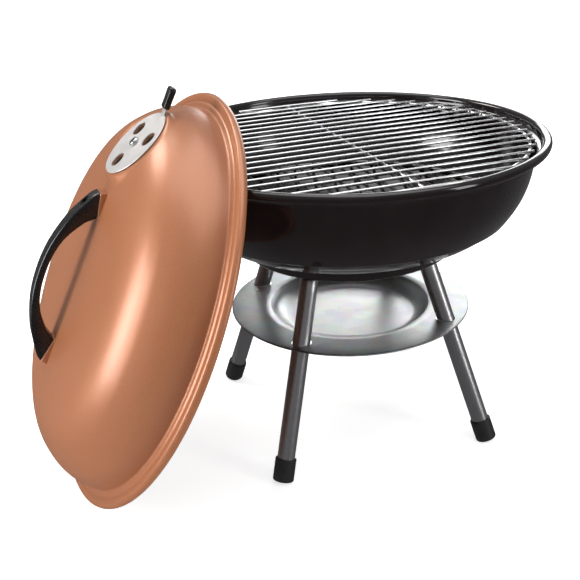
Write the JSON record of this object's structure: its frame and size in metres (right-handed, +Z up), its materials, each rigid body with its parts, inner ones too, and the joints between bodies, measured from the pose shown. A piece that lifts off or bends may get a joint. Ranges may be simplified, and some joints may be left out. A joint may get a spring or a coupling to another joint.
{
  "type": "portable tabletop charcoal grill",
  "caption": "Portable tabletop charcoal grill with round bowl, tube legs, ash tray, wire grates and a domed vented lid leaning against its side.",
  "frame": {"origin": "on the floor under the middle of the whole object's footprint, lid included", "axes": "+Z up, -Y towards the side the picture is taken from, +X to that viewer's right; the bowl's axis is vertical through X 0.0638, Y 0.0333"},
  "size_m": [0.4866, 0.4256, 0.3476],
  "materials": {
    "bowl_enamel": "gloss black porcelain enamel",
    "lid_enamel": "satin metallic copper orange paint",
    "leg_steel": "satin plated tube",
    "tray_steel": "bright galvanised sheet",
    "grate_chrome": "bright chromed wire",
    "coal_grate_steel": "plain steel wire",
    "vent_aluminium": "satin stamped sheet",
    "fastener_steel": "plated",
    "dark_screw": "black oxide",
    "handle_plastic": "fine satin, heat resistant",
    "grip_plastic": "satin",
    "socket_plastic": "satin",
    "cap_rubber": "soft matte"
  },
  "bodies": {
    "base": {"bowl": "bowl_enamel", "grate_rests": "fastener_steel", "bowl_damper_screw": "fastener_steel", "bowl_damper_nut": "fastener_steel", "leg_front_left": "leg_steel", "leg_front_right": "leg_steel", "leg_back_right": "leg_steel", "leg_back_left": "leg_steel", "foot_cap_front_left": "cap_rubber", "foot_cap_front_right": "cap_rubber", "foot_cap_back_right": "cap_rubber", "foot_cap_back_left": "cap_rubber", "leg_socket_front_left": "socket_plastic", "leg_socket_front_right": "socket_plastic", "leg_socket_back_right": "socket_plastic", "leg_socket_back_left": "socket_plastic", "leg_bolts": "fastener_steel", "leg_washers": "fastener_steel", "ash_tray": "tray_steel"},
    "cooking_grate": {"cooking_grate": "grate_chrome"},
    "charcoal_grate": {"charcoal_grate": "coal_grate_steel"},
    "bowl_vent": {"bowl_damper": "vent_aluminium"},
    "lid": {"lid_shell": "lid_enamel", "lid_handle": "handle_plastic", "handle_screws": "dark_screw", "handle_washers": "fastener_steel", "handle_nuts": "fastener_steel", "lid_damper_screw": "fastener_steel", "lid_damper_nut": "fastener_steel"},
    "lid_vent": {"lid_damper": "vent_aluminium", "damper_grip": "grip_plastic"}
  },
  "joints": [
    {"name": "lid_swing", "type": "hinge", "parent": "base", "child": "lid", "pos_m": [0.06449, 0.03361, 0.06753], "axis": [0.3453, -0.9385, 0], "range_deg": [-63.5, 0]},
    {"name": "lid_vent_turn", "type": "hinge", "parent": "lid", "child": "lid_vent", "pos_m": [-0.11462, -0.03701, 0.30423], "axis": [-0.5753, -0.2276, 0.7856], "range_deg": [0, 60]},
    {"name": "bowl_vent_turn", "type": "hinge", "parent": "base", "child": "bowl_vent", "pos_m": [0.06377, 0.03334, 0.1813], "axis": [0, 0, 1], "range_deg": [0, 60]},
    {"name": "cooking_grate_lift", "type": "slide", "parent": "base", "child": "cooking_grate", "axis": [0, 0, 1], "range_m": [0, 0.012]},
    {"name": "charcoal_grate_lift", "type": "slide", "parent": "base", "child": "charcoal_grate", "axis": [0, 0, 1], "range_m": [0, 0.05]}
  ]
}
